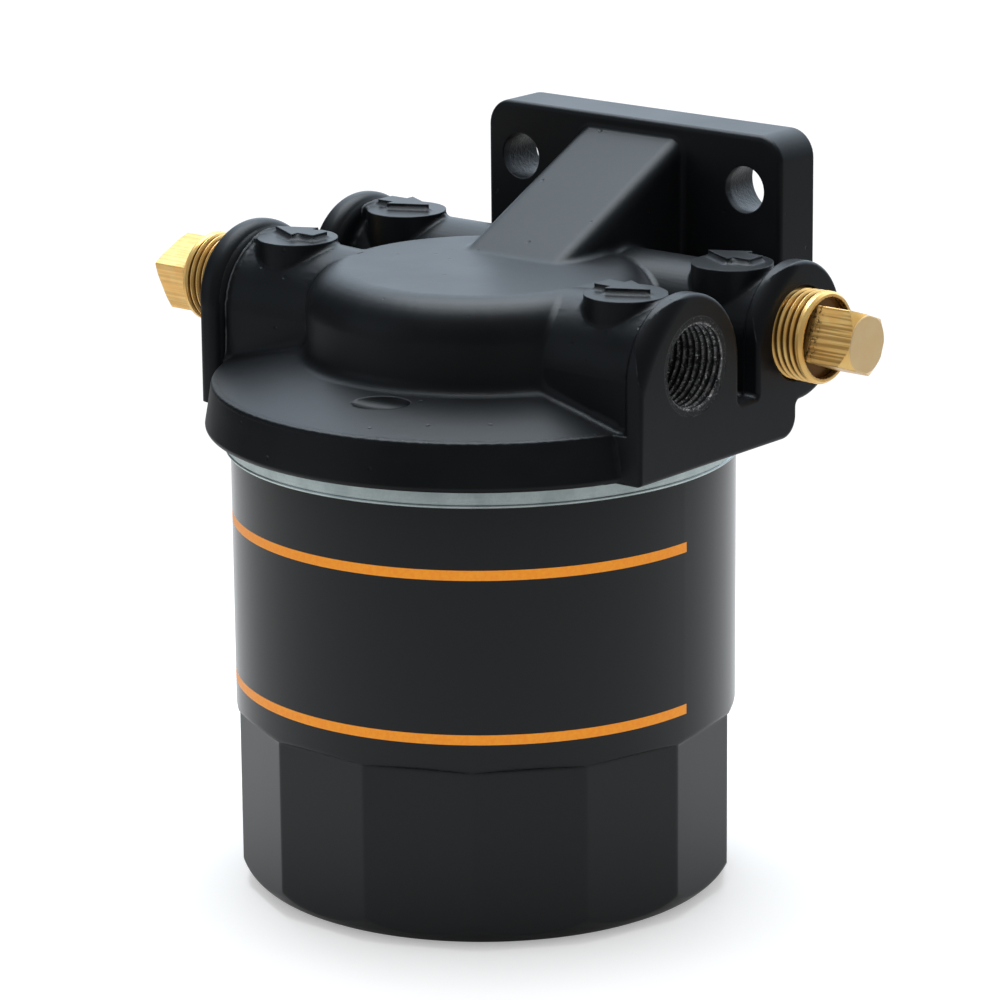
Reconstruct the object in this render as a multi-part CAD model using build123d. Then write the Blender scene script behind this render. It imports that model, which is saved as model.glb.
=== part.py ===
from build123d import *
import math
import os

# Spin-on fuel water separator: a cast filter head with four ports and a
# mounting plate, brass plugs in two of the ports, and a screw-on canister.
# Lengths are millimetres and angles degrees. The origin is the centre of the
# canister's base, +Z is up along the canister, +X runs along the ports and
# +Y points to the wall that the plate bolts to.

# Canister shell, one drawn steel cup with wrench flats
canister_radius = 47.6
canister_wall = 0.7
canister_height = 88.8
base_corner_radius = 7.0
base_bead_radius = 27.0
base_bead_width = 6.0
base_bead_depth = 0.8
flat_count = 14
flat_depth = 1.45
flat_height = 34.5
flat_runout = 0.9
flat_turn = -2.0

# Seaming lid, folded over the shell's edge, with the gasket groove
lid_sheet = 0.7
seam_height = 4.2
seam_sheet = 0.9
fold_gap = 0.1
groove_depth = 2.4
groove_width = 8.1
groove_ridge_width = 1.5
groove_ridge_height = 1.9
lid_lap = 3.5

# Tapping plate, the thick threaded disc under the lid
plate_thickness = 3.5
plate_edge_gap = 0.3
collar_wall = 3.25
collar_depth = 6.5
inlet_hole_count = 8
inlet_hole_radius = 3.2
inlet_circle_radius = 26.5

# Hollow threaded nipple between the head and the canister
nipple_radius = 12.7
nipple_bore_radius = 9.0
nipple_tail = 1.4
nipple_chamfer = 0.8
thread_clearance = 0.05

# Rubber seals
gasket_width = 5.6
gasket_height = 4.7
seal_wall = 2.85
seal_height = 4.6
seal_gap = 0.05

# Filter element
element_radius = 39.0
element_drop = 0.6
element_height = 51.8
element_sheet = 0.6
end_cap_rim = 4.0
neck_height = 4.0
cap_hole_gap = 0.6
tube_sheet = 0.6
tube_hole_rows = 4
tube_holes_per_row = 6
tube_hole_radius = 2.4
pleat_count = 36
pleat_wall = 4.2
media_gap = 0.2

# Leaf spring under the element
spring_sheet = 0.8
spring_seat_radius = 16.0
spring_legs = 4
spring_leg_width = 11.0
spring_foot_radius = 37.0
spring_foot_length = 4.0

# Cast head, flange and round body
flange_top_radius = 51.0
flange_bottom_radius = 52.5
flange_height = 8.9
skirt_depth = 3.2
skirt_gap = 1.0
flange_edge_round = 0.7
skirt_round = 1.0
body_radius = 33.0
body_height = 21.3
body_edge_round = 8.0
body_foot_rise = 4.8
body_foot_round = 3.0
chamber_inner_radius = 19.0
chamber_outer_radius = 36.5
chamber_height = 6.2
hub_gap = 4.0
nipple_seat_depth = 12.6
transfer_width = 18.0
transfer_length = 9.0

# Ports and their pads and bosses
port_face = 53.1
port_height = 19.3
port_radius = 8.6
port_depth = 14.0
port_chamfer = 0.6
passage_radius = 6.0
front_port_y = -4.0
rear_port_y = 28.4
right_pad_thickness = 3.8
left_pad_thickness = 5.4
pad_round = 0.9
pad_back_round = 0.8
front_pad_y = -5.45
front_pad_radius = 14.65
front_pad_crown_drop = 1.1
rear_pad_y = 28.2
rear_pad_radius = 13.1
rear_pad_rise = 0.5
left_rear_pad_y = 25.4
left_rear_pad_radius = 14.0
left_rear_pad_rise = 0.0
left_port_rise = 0.8
pad_slot_floor = 9.7
pad_slot_round = 0.8
pad_slot_share = 0.45
rear_pad_edge_y = 27.3
left_rear_pad_edge_y = 26.6
pad_corner_round = 4.0
pad_notch_round = 1.2
boss_step = 1.5
boss_taper = 1.1
boss_root_x = 25.0
rear_boss_y = 27.7
rear_boss_radius = 11.1

# Arrow discs on the bosses
disc_x = 39.6
disc_radius = 7.7
disc_height = 31.6
front_disc_y = -7.1
rear_disc_y = 25.1
arrow_length = 11.2
arrow_head_length = 7.4
arrow_head_width = 7.8
arrow_shaft_width = 4.2
arrow_thickness = 1.2
front_arrow_shift = (-0.6, 0.8)
rear_arrow_shift = (-1.2, 1.5)

# Mounting plate and the rib that carries it
mount_width = 71.2
mount_height = 38.0
mount_thickness = 10.7
mount_front_y = 45.5
mount_top = 51.1
mount_corner_round = 5.2
mount_edge_round = 1.1
mount_hole_radius = 4.5
mount_hole_spacing = 54.6
mount_hole_drop = 10.7
rib_width = 25.0
rib_round = 2.8
rib_top_drop = 2.8
rib_toe_y = 8.5

# Brass plugs, taper threads with square heads
plug_small_radius = 8.27
plug_taper = 1 / 32
plug_thread_length = 15.5
plug_shoulder_chamfer = 1.1
plug_head_width = 10.7
plug_head_length = 8.9
plug_corner_round = 0.3
plug_end_drop = 0.85
plug_point_chamfer = 0.8
left_plug_reach = 11.9
right_plug_reach = 6.0
left_plug_turn = 22.0
right_plug_turn = -19.0

# Heights worked out from the sizes above
seam_top = canister_height + lid_sheet
groove_floor = seam_top - groove_depth
lid_underside = groove_floor - lid_sheet
plate_underside = lid_underside - plate_thickness
collar_end = plate_underside - collar_depth
gasket_seat = groove_floor + gasket_height
flange_bottom = gasket_seat - skirt_depth
flange_top = flange_bottom + flange_height
body_top = flange_top + body_height
port_z = flange_bottom + port_height
hub_face = lid_underside + hub_gap
nipple_top = hub_face + nipple_seat_depth
nipple_bottom = collar_end - nipple_tail
disc_top = flange_bottom + disc_height
mount_top_z = flange_bottom + mount_top
mount_back_y = mount_front_y + mount_thickness

# Radii worked out from the sizes above
shell_inner_radius = canister_radius - canister_wall
seam_radius = canister_radius + fold_gap + seam_sheet
seam_wall_radius = shell_inner_radius - fold_gap
groove_outer_radius = seam_wall_radius - lid_sheet
groove_inner_radius = groove_outer_radius - groove_width
thread_bore_radius = nipple_radius + thread_clearance
collar_radius = thread_bore_radius + collar_wall
seal_inner_radius = collar_radius + seal_gap
seal_outer_radius = seal_inner_radius + seal_wall
neck_radius = seal_outer_radius + seal_gap
tube_inner_radius = neck_radius
tube_outer_radius = tube_inner_radius + tube_sheet
skirt_inner_radius = seam_radius + skirt_gap
element_top = collar_end - element_drop
element_bottom = element_top - element_height


def ring(inner_radius, outer_radius, low, high):
    """Upright ring between two heights; an inner radius of 0 gives a disc."""
    solid = Pos(0, 0, low) * extrude(Circle(outer_radius), high - low)
    if inner_radius > 0:
        solid -= Pos(0, 0, low) * extrude(Circle(inner_radius), high - low)
    return solid


def outline(points, rounds=()):
    """Flat face through points; the corners in rounds (x, y, radius) are rounded."""
    face = make_face(Polyline(*points, close=True))
    for x, y, radius in rounds:
        corner = face.vertices().sort_by_distance((x, y, 0))[0]
        face = fillet(corner, radius)
    return face


def turned(points, rounds=()):
    """Solid of revolution about Z from (radius, height) points."""
    return revolve(Plane.XZ * outline(points, rounds), Axis.Z)


def along_x(section, start, end):
    """Extrude a (y, z) section along X between two stations."""
    return extrude(Plane.YZ.offset(start) * section, end - start)


def block_section(front, back, low, high):
    """Upright rectangle in the (y, z) plane."""
    return Pos((front + back) / 2, (low + high) / 2) * Rectangle(back - front, high - low)


def rod_x(y, z, radius, start, end):
    """Round bar along X."""
    return along_x(Pos(y, z) * Circle(radius), start, end)


def both_sides(solid):
    """The piece and its mirror image across the middle plane."""
    return solid + mirror(solid, about=Plane.YZ)


def cup_form(radius, low, high, corner):
    """Solid cup: a rounded cylinder cut by a ring of wrench flats with run-out tops."""
    body = turned([(0, low), (radius, low), (radius, high), (0, high)], [(radius, low, corner)])
    narrow = RegularPolygon(radius - flat_depth, flat_count, major_radius=False)
    wide = RegularPolygon(radius + flat_depth, flat_count, major_radius=False)
    runout_top = flat_height + 2 * flat_runout
    flats = Pos(0, 0, low) * extrude(narrow, flat_height - low)
    runout = loft([Pos(0, 0, flat_height) * narrow, Pos(0, 0, runout_top) * wide], ruled=True)
    top = ring(0, radius + flat_depth, runout_top, high)
    return body & (Rot(0, 0, flat_turn) * (flats + runout + top))


def make_canister_shell():
    """Drawn cup with a pressed bead in its base."""
    outer = cup_form(canister_radius, 0, canister_height, base_corner_radius)
    inner_corner = base_corner_radius - canister_wall
    inner = cup_form(shell_inner_radius, canister_wall, canister_height + canister_wall, inner_corner)
    bead_inner = base_bead_radius - base_bead_width / 2
    bead_outer = base_bead_radius + base_bead_width / 2
    groove = ring(bead_inner, bead_outer, 0, base_bead_depth)
    ridge_top = base_bead_depth + canister_wall
    ridge = ring(bead_inner - canister_wall, bead_outer + canister_wall, canister_wall, ridge_top)
    return outer - inner + ridge - groove


def make_seaming_lid():
    """Plated lid: outer fold over the shell's edge, gasket groove and ridge."""
    fold_radius = canister_radius + fold_gap
    ridge_inner = groove_inner_radius - groove_ridge_width
    ridge_top = groove_floor + groove_ridge_height
    lap_radius = ridge_inner - lid_lap
    points = [
        (fold_radius, seam_top - seam_height),
        (seam_radius, seam_top - seam_height),
        (seam_radius, seam_top),
        (groove_outer_radius, seam_top),
        (groove_outer_radius, groove_floor),
        (groove_inner_radius, groove_floor),
        (groove_inner_radius, ridge_top),
        (ridge_inner, ridge_top),
        (ridge_inner, groove_floor),
        (lap_radius, groove_floor),
        (lap_radius, lid_underside),
        (seam_wall_radius, lid_underside),
        (seam_wall_radius, canister_height),
        (fold_radius, canister_height),
    ]
    edge = seam_sheet / 3
    rounds = [
        (seam_radius, seam_top - seam_height, edge),
        (seam_radius, seam_top, edge),
        (groove_outer_radius, seam_top, lid_sheet / 3),
        (groove_inner_radius, ridge_top, groove_ridge_width / 3),
        (ridge_inner, ridge_top, groove_ridge_width / 3),
    ]
    return turned(points, rounds)


def make_tapping_plate():
    """Thick steel disc with a threaded collar and a ring of inlet holes."""
    plate = ring(0, shell_inner_radius - plate_edge_gap, plate_underside, lid_underside)
    collar = ring(0, collar_radius, collar_end, plate_underside)
    bore = ring(0, thread_bore_radius, collar_end, lid_underside)
    plate = plate + collar - bore
    inlet = Pos(inlet_circle_radius, 0, plate_underside) * extrude(Circle(inlet_hole_radius), plate_thickness)
    for place in range(inlet_hole_count):
        plate -= Rot(0, 0, 360 * place / inlet_hole_count) * inlet
    return plate


def make_nipple():
    """Hollow threaded nipple, its ends chamfered."""
    points = [
        (nipple_bore_radius, nipple_bottom),
        (nipple_radius - nipple_chamfer, nipple_bottom),
        (nipple_radius, nipple_bottom + nipple_chamfer),
        (nipple_radius, nipple_top - nipple_chamfer),
        (nipple_radius - nipple_chamfer, nipple_top),
        (nipple_bore_radius, nipple_top),
    ]
    return turned(points)


def make_canister_gasket():
    """Square rubber ring that seals the lid against the head."""
    middle = (groove_inner_radius + groove_outer_radius) / 2
    return ring(middle - gasket_width / 2, middle + gasket_width / 2, groove_floor, gasket_seat)


def make_collar_seal():
    """Rubber ring between the plate's collar and the element's neck."""
    return ring(seal_inner_radius, seal_outer_radius, element_top, element_top + seal_height)


def make_top_end_cap():
    """Pressed cap with an outer rim and a neck round the seal."""
    disc = ring(collar_radius + cap_hole_gap, element_radius, element_top - element_sheet, element_top)
    rim_low = element_top - element_sheet - end_cap_rim
    rim = ring(element_radius - element_sheet, element_radius, rim_low, element_top - element_sheet)
    neck = ring(neck_radius, neck_radius + element_sheet, element_top, element_top + neck_height)
    return disc + rim + neck


def make_bottom_end_cap():
    """Closed pressed cap with an outer rim."""
    disc = ring(0, element_radius, element_bottom, element_bottom + element_sheet)
    rim_low = element_bottom + element_sheet
    rim = ring(element_radius - element_sheet, element_radius, rim_low, rim_low + end_cap_rim)
    return disc + rim


def make_centre_tube():
    """Perforated steel core of the element."""
    low = element_bottom + element_sheet
    high = element_top - element_sheet
    tube = ring(tube_inner_radius, tube_outer_radius, low, high)
    row_rise = (high - low) / tube_hole_rows
    hole = Rot(0, 90, 0) * extrude(Circle(tube_hole_radius), tube_outer_radius * 2)
    for row in range(tube_hole_rows):
        for place in range(tube_holes_per_row):
            turn = 360 * (place + row % 2 / 2) / tube_holes_per_row
            tube -= Pos(0, 0, low + row_rise * (row + 0.5)) * Rot(0, 0, turn) * hole
    return tube


def pleat_points(tip_radius, root_radius):
    """Star outline with one tip and one root for each pleat."""
    points = []
    for pleat in range(pleat_count):
        tip_angle = math.radians(360 * pleat / pleat_count)
        root_angle = math.radians(360 * (pleat + 0.5) / pleat_count)
        points.append((tip_radius * math.cos(tip_angle), tip_radius * math.sin(tip_angle)))
        points.append((root_radius * math.cos(root_angle), root_radius * math.sin(root_angle)))
    return points


def make_pleated_media():
    """Filter paper folded into radial pleats between the end caps."""
    low = element_bottom + element_sheet
    high = element_top - element_sheet
    tip_radius = element_radius - element_sheet - media_gap
    root_radius = tube_outer_radius + media_gap
    outer = outline(pleat_points(tip_radius, root_radius + pleat_wall))
    inner = outline(pleat_points(tip_radius - pleat_wall, root_radius))
    return Pos(0, 0, low) * extrude(outer - inner, high - low)


def make_element_spring():
    """Leaf spring: a seat disc under the element on sloping legs."""
    high = element_bottom
    low = canister_wall
    bend_radius = spring_foot_radius - spring_foot_length
    run = bend_radius - spring_seat_radius
    drop = high - low - spring_sheet
    bend = spring_sheet * (math.hypot(run, drop) - run) / drop
    points = [
        (spring_seat_radius / 2, high),
        (spring_seat_radius, high),
        (bend_radius, low + spring_sheet),
        (spring_foot_radius, low + spring_sheet),
        (spring_foot_radius, low),
        (bend_radius - bend, low),
        (spring_seat_radius - bend, high - spring_sheet),
        (spring_seat_radius / 2, high - spring_sheet),
    ]
    leg = extrude(Plane.XZ * outline(points), spring_leg_width / 2, both=True)
    spring = ring(spring_seat_radius / 2, spring_seat_radius, high - spring_sheet, high)
    for place in range(spring_legs):
        spring += Rot(0, 0, 360 * place / spring_legs) * leg
    return spring - ring(0, spring_seat_radius / 2, low, high)


def head_core():
    """Flange, sloping shoulder and round body of the casting, turned as one."""
    foot_z = flange_top + body_foot_rise
    points = [
        (0, flange_bottom),
        (flange_bottom_radius, flange_bottom),
        (flange_top_radius, flange_top),
        (body_radius, foot_z),
        (body_radius, body_top),
        (0, body_top),
    ]
    rounds = [
        (flange_bottom_radius, flange_bottom, skirt_round),
        (flange_top_radius, flange_top, flange_edge_round),
        (body_radius, foot_z, body_foot_round),
        (body_radius, body_top, body_edge_round),
    ]
    return turned(points, rounds)


def arch(centre_y, crown_z, radius, foot_z):
    """Upright (y, z) arch section with a half-round crown."""
    left = (centre_y - radius, crown_z)
    right = (centre_y + radius, crown_z)
    left_foot = (left[0], foot_z)
    right_foot = (right[0], foot_z)
    crown = ThreePointArc(left, (centre_y, crown_z + radius), right)
    sides = [Line(right, right_foot), Line(right_foot, left_foot), Line(left_foot, left)]
    return make_face([crown] + sides)


def front_boss():
    """Tapering boss from the front pad into the round body."""
    crown_z = port_z - front_pad_crown_drop
    outer_radius = front_pad_radius - boss_step
    foot_z = gasket_seat
    outer = arch(front_pad_y, crown_z, outer_radius, foot_z)
    root = arch(front_pad_y, crown_z, outer_radius - boss_taper, foot_z)
    outer_x = port_face - right_pad_thickness / 2
    return loft([Plane.YZ.offset(boss_root_x) * root, Plane.YZ.offset(outer_x) * outer], ruled=True)


def rear_bosses():
    """Straight boss that joins the two rear pads behind the round body."""
    leg = block_section(rear_boss_y - rear_boss_radius, rear_boss_y, gasket_seat, port_z)
    section = Pos(rear_boss_y, port_z) * Circle(rear_boss_radius) + leg
    reach = port_face - right_pad_thickness / 2
    return along_x(section, -reach, reach)


def pad_outline(rear_y, rear_radius, rise, edge_y):
    """Outline of a port pad: two crowns with a slot between them on one foot."""
    rear_z = port_z + rise
    front_y = front_pad_y - front_pad_radius
    slot_start_y = front_pad_y + front_pad_radius
    slot_end_y = rear_y - rear_radius
    slot_floor_z = flange_bottom + pad_slot_floor
    front_crown = arch(front_pad_y, port_z - front_pad_crown_drop, front_pad_radius, flange_bottom)
    rear_crown = Pos(rear_y, rear_z) * Circle(rear_radius)
    rear_leg = block_section(slot_end_y, edge_y, flange_bottom, rear_z)
    foot = block_section(front_y, edge_y, flange_bottom, slot_floor_z)
    pad = front_crown + rear_crown + rear_leg + foot
    slot_round = min(pad_slot_round, pad_slot_share * (slot_end_y - slot_start_y))
    notch_drop = math.sqrt(rear_radius ** 2 - (rear_y - edge_y) ** 2)
    corners = [
        (edge_y, flange_bottom, pad_corner_round),
        (edge_y, rear_z - notch_drop, pad_notch_round),
        (slot_start_y, slot_floor_z, slot_round),
        (slot_end_y, slot_floor_z, slot_round),
    ]
    for y, z, radius in corners:
        corner = pad.vertices().sort_by_distance((y, z, 0))[0]
        pad = fillet(corner, radius)
    return pad


def port_pad(rear_y, rear_radius, rise, edge_y, thickness):
    """Pad on the right-hand side with a softly rounded rim."""
    back_x = port_face - thickness
    pad = along_x(pad_outline(rear_y, rear_radius, rise, edge_y), back_x, port_face)
    pad = fillet(pad.faces().sort_by(Axis.X)[-1].edges(), pad_round)
    back_rim = []
    for edge in pad.faces().sort_by(Axis.X)[0].edges():
        if edge.center().Z > flange_bottom:
            back_rim.append(edge)
    return fillet(back_rim, pad_back_round)


def pad_block():
    """Solid metal that joins the foot of the right-hand pad to the flange."""
    front_y = front_pad_y - front_pad_radius
    section = outline([
        (front_y, flange_bottom),
        (left_rear_pad_edge_y, flange_bottom),
        (left_rear_pad_edge_y, flange_top),
        (front_y, flange_top),
    ], [(left_rear_pad_edge_y, flange_bottom, pad_corner_round)])
    return along_x(section, chamber_outer_radius, port_face - right_pad_thickness / 2)


def arrow(direction):
    """Flat arrow outline that points along +X or -X."""
    half = arrow_length / 2
    neck = half - arrow_head_length
    points = [
        (-half, -arrow_shaft_width / 2),
        (neck, -arrow_shaft_width / 2),
        (neck, -arrow_head_width / 2),
        (half, 0),
        (neck, arrow_head_width / 2),
        (neck, arrow_shaft_width / 2),
        (-half, arrow_shaft_width / 2),
    ]
    return outline([(direction * x, y) for x, y in points])


def arrow_disc(x, y, direction, shift):
    """Round disc on a boss with a raised flow arrow, set off its centre by shift."""
    disc = ring(0, disc_radius, port_z, disc_top)
    raised = Pos(shift[0], shift[1], disc_top) * extrude(arrow(direction), arrow_thickness)
    return Pos(x, y, 0) * (disc + raised)


def mounting_plate():
    """Upright plate with rounded corners, its front edges softened."""
    middle_z = mount_top_z - mount_height / 2
    section = RectangleRounded(mount_width, mount_height, mount_corner_round)
    plate = extrude(Plane.XZ.offset(-mount_back_y) * Pos(0, middle_z) * section, mount_thickness)
    plate = fillet(plate.faces().sort_by(Axis.Y)[0].edges(), mount_edge_round)
    return plate


def rib():
    """Sloping web from the round body up to the mounting plate."""
    rise_z = mount_top_z - rib_top_drop
    slope = (rise_z - body_top) / (mount_front_y - rib_toe_y)
    back_y = mount_front_y + mount_edge_round
    section = outline([
        (0, body_top - slope * rib_toe_y),
        (back_y, rise_z + slope * mount_edge_round),
        (back_y, mount_top_z - mount_height),
        (rear_boss_y, mount_top_z - mount_height),
        (0, port_z),
    ])
    web = along_x(section, -rib_width / 2, rib_width / 2)
    long_edges = web.faces().sort_by(Axis.Z)[-1].edges().filter_by(Axis.X, reverse=True)
    return fillet(long_edges, rib_round)


def port_cut(y, rise):
    """Port on the right-hand side: chamfered mouth, threaded length and drill point."""
    mouth = port_radius + port_chamfer
    root = port_face - port_depth
    tip = root - (port_radius - passage_radius) / 2
    profile = outline([
        (0, port_face + port_chamfer),
        (mouth + port_chamfer, port_face + port_chamfer),
        (port_radius, port_face - port_chamfer),
        (port_radius, root),
        (passage_radius, tip),
        (0, tip),
    ])
    cut = revolve(Plane.XZ * profile, Axis.Z)
    return Pos(0, y, port_z + rise) * Rot(0, 90, 0) * cut


def head_cuts():
    """Everything machined or cored out of the casting."""
    recess = ring(chamber_inner_radius, skirt_inner_radius, flange_bottom, gasket_seat)
    hub_clearance = ring(0, chamber_inner_radius, flange_bottom, hub_face)
    chamber_top = gasket_seat + chamber_height
    chamber = ring(chamber_inner_radius, chamber_outer_radius, gasket_seat, chamber_top)
    nipple_seat = ring(0, thread_bore_radius, hub_face, nipple_top)
    outlet = ring(0, nipple_bore_radius, nipple_top, port_z)
    run = port_face - port_depth
    front_passage = rod_x(front_port_y, port_z, passage_radius, -run, run)
    rear_passage = rod_x(rear_port_y, port_z, passage_radius, -run, run)
    transfer = Pos(0, rear_port_y, (chamber_top + port_z) / 2) * Box(
        transfer_width, transfer_length, port_z - chamber_top + chamber_height / 2
    )
    right_ports = port_cut(front_port_y, 0) + port_cut(rear_port_y, 0)
    left_ports = mirror(port_cut(front_port_y, left_port_rise) + port_cut(rear_port_y, 0), about=Plane.YZ)
    cores = [recess, hub_clearance, chamber, nipple_seat, outlet, transfer]
    return cores + [front_passage, rear_passage, right_ports, left_ports]


def mount_holes():
    """Two bolt holes through the mounting plate."""
    hole_z = mount_top_z - mount_hole_drop
    section = Circle(mount_hole_radius)
    hole = extrude(Plane.XZ.offset(-mount_back_y) * Pos(mount_hole_spacing / 2, hole_z) * section, mount_thickness)
    return both_sides(hole)


def make_filter_head():
    """The whole casting: flange, body, bosses, pads, discs, rib and plate."""
    right_pad = port_pad(rear_pad_y, rear_pad_radius, rear_pad_rise, rear_pad_edge_y, right_pad_thickness)
    left_pad = port_pad(
        left_rear_pad_y, left_rear_pad_radius, left_rear_pad_rise, left_rear_pad_edge_y, left_pad_thickness
    )
    right = front_boss() + right_pad
    left = front_boss() + left_pad
    head = head_core() + rear_bosses() + rib() + mounting_plate() + both_sides(pad_block())
    head += right + mirror(left, about=Plane.YZ)
    for direction in (1, -1):
        head += arrow_disc(direction * disc_x, front_disc_y, direction, front_arrow_shift)
        head += arrow_disc(direction * disc_x, rear_disc_y, -direction, rear_arrow_shift)
    for cut in head_cuts():
        head -= cut
    return head - mount_holes()


def make_plug(reach, turn):
    """Square-head plug for a right-hand port, screwed in to its reach."""
    shoulder = port_face + reach
    start = shoulder - plug_thread_length
    large_radius = plug_small_radius + plug_taper * plug_thread_length
    head_end = shoulder + plug_head_length
    thread = revolve(Plane.XZ * outline([
        (0, start),
        (plug_small_radius - plug_point_chamfer, start),
        (plug_small_radius, start + plug_point_chamfer),
        (large_radius, shoulder - plug_shoulder_chamfer),
        (large_radius - plug_shoulder_chamfer, shoulder),
        (0, shoulder),
    ]), Axis.Z)
    half = plug_head_width / 2
    corner = plug_head_width / math.sqrt(2)
    turned_end = revolve(Plane.XZ * outline([
        (0, shoulder),
        (corner, shoulder),
        (corner, head_end - plug_end_drop),
        (half, head_end),
        (0, head_end),
    ]), Axis.Z)
    square = extrude(RectangleRounded(plug_head_width, plug_head_width, plug_corner_round), plug_head_length)
    plug = thread + (Pos(0, 0, shoulder) * Rot(0, 0, turn) * square & turned_end)
    return Rot(0, 90, 0) * plug


def make_plug_right():
    """Plug in the rear right-hand port."""
    return Pos(0, rear_port_y, port_z) * make_plug(right_plug_reach, right_plug_turn)


def make_plug_left():
    """Plug in the front left-hand port."""
    plug = Pos(0, front_port_y, port_z + left_port_rise) * make_plug(left_plug_reach, left_plug_turn)
    return mirror(plug, about=Plane.YZ)


def build():
    """Write every piece to its own file."""
    os.makedirs("parts", exist_ok=True)
    pieces = {
        "filter_head": make_filter_head(),
        "centre_nipple": make_nipple(),
        "plug_left": make_plug_left(),
        "plug_right": make_plug_right(),
        "canister_gasket": make_canister_gasket(),
        "canister_shell": make_canister_shell(),
        "seaming_lid": make_seaming_lid(),
        "tapping_plate": make_tapping_plate(),
        "collar_seal": make_collar_seal(),
        "top_end_cap": make_top_end_cap(),
        "centre_tube": make_centre_tube(),
        "pleated_media": make_pleated_media(),
        "bottom_end_cap": make_bottom_end_cap(),
        "element_spring": make_element_spring(),
    }
    for name, piece in pieces.items():
        export_step(piece, os.path.join("parts", name + ".step"))


build()
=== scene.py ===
# %% [markdown]
# # A spin-on fuel water separator
# The real one is a black painted aluminium casting with four threaded ports and a
# mounting plate. Brass plugs close two of the ports, and a glossy black steel
# canister with two orange lines screws on underneath. The solids come from the CAD
# model. This script gives them their finish, and rebuilds the few pieces whose
# detail is too fine for the CAD: the casting's soft corners and dressed crowns, the
# threads of ports and plugs, and the rolled seam.

import math

import bmesh
import bpy
from mathutils import Matrix, Vector, kdtree


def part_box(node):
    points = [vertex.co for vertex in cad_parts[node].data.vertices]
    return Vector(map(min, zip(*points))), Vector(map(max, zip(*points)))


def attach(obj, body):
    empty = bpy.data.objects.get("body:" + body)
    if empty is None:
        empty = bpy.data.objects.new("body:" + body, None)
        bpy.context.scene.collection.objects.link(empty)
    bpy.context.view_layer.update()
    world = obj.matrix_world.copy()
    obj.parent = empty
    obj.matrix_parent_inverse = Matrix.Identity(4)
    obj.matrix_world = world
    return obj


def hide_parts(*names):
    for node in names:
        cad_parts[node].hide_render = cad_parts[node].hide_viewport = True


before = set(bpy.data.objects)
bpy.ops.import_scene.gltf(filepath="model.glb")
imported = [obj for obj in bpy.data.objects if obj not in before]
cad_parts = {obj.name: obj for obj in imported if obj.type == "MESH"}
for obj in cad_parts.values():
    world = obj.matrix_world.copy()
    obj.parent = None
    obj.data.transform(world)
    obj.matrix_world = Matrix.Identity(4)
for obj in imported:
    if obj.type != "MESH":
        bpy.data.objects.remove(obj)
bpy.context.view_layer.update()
MM = 0.001
print("CAD nodes:", ", ".join(sorted(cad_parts)))

# %% [markdown]
# ## Helpers for modelling
# The operators act on whatever is selected, so every step first makes one object
# the only selected one. A modifier is added with its settings and applied at once,
# so each piece ends as a plain mesh. A finished piece sits at the origin, with its
# place in its mesh, as the CAD nodes do.


# %% Select, modify and place
def only(piece):
    """Makes piece the one selected and active object."""
    bpy.ops.object.select_all(action="DESELECT")
    piece.select_set(True)
    bpy.context.view_layer.objects.active = piece


def edit(piece, *steps):
    """Runs each step on the whole of piece in edit mode."""
    only(piece)
    bpy.ops.object.mode_set(mode="EDIT")
    for step in steps:
        bpy.ops.mesh.select_all(action="SELECT")
        step()
    bpy.ops.object.mode_set(mode="OBJECT")


def modify(piece, kind, **settings):
    """Adds one modifier, gives it its settings and applies it."""
    only(piece)
    modifier = piece.modifiers.new(kind, kind)
    for name, value in settings.items():
        setattr(modifier, name, value)
    bpy.ops.object.modifier_apply(modifier=modifier.name)


def join_solids(piece, tool, operation):
    """Adds the closed mesh of tool to piece, or cuts it out, and deletes tool."""
    modify(piece, "BOOLEAN", object=tool, operation=operation, solver="MANIFOLD")
    bpy.data.objects.remove(tool)


def freeze(piece):
    """Moves the object's place, turn and size into its mesh."""
    only(piece)
    bpy.ops.object.transform_apply(location=True, rotation=True, scale=True)


def smooth_shading(piece, degrees):
    """Smooth shading that keeps edges sharper than the angle."""
    only(piece)
    bpy.ops.object.shade_smooth_by_angle(angle=math.radians(degrees))
    modify(piece, "WEIGHTED_NORMAL", keep_sharp=True, weight=50)


# %% Steps for edit mode
WELD = 0.001 * MM
SAW_TOLERANCE = 1e-7


def weld():
    """Merges vertices that lie in one place."""
    bpy.ops.mesh.remove_doubles(threshold=WELD)


def face_outwards():
    """Turns the faces of a closed mesh outwards."""
    bpy.ops.mesh.normals_make_consistent(inside=False)


def saw(place, normal, **cleared):
    """Saws along a plane, closes the cut and clears the side that is named."""
    bpy.ops.mesh.bisect(
        plane_co=place, plane_no=normal, use_fill=True, threshold=SAW_TOLERANCE, **cleared
    )


# %% Count what was made
def open_edges(piece):
    """How many edges don't join exactly two faces."""
    shape = bmesh.new()
    shape.from_mesh(piece.data)
    count = sum(not edge.is_manifold for edge in shape.edges)
    shape.free()
    return count


def report(title, piece):
    """Prints how many triangles and open edges the piece has."""
    triangles = sum(len(face.vertices) - 2 for face in piece.data.polygons)
    print(f"{title}: {triangles} triangles, {open_edges(piece)} open edges")


# %% [markdown]
# ## Helpers for materials
# Shader maths reads best as sums. A Wire holds one socket, and adding, multiplying
# or comparing Wires adds the Math or Vector Math nodes that do it. A Finish is one
# material: numbers that are the same all over go straight onto the shader, and only
# what changes over the surface is wired. Places are in metres, and the scale of a
# noise is how many of its lumps lie along one metre.


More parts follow.
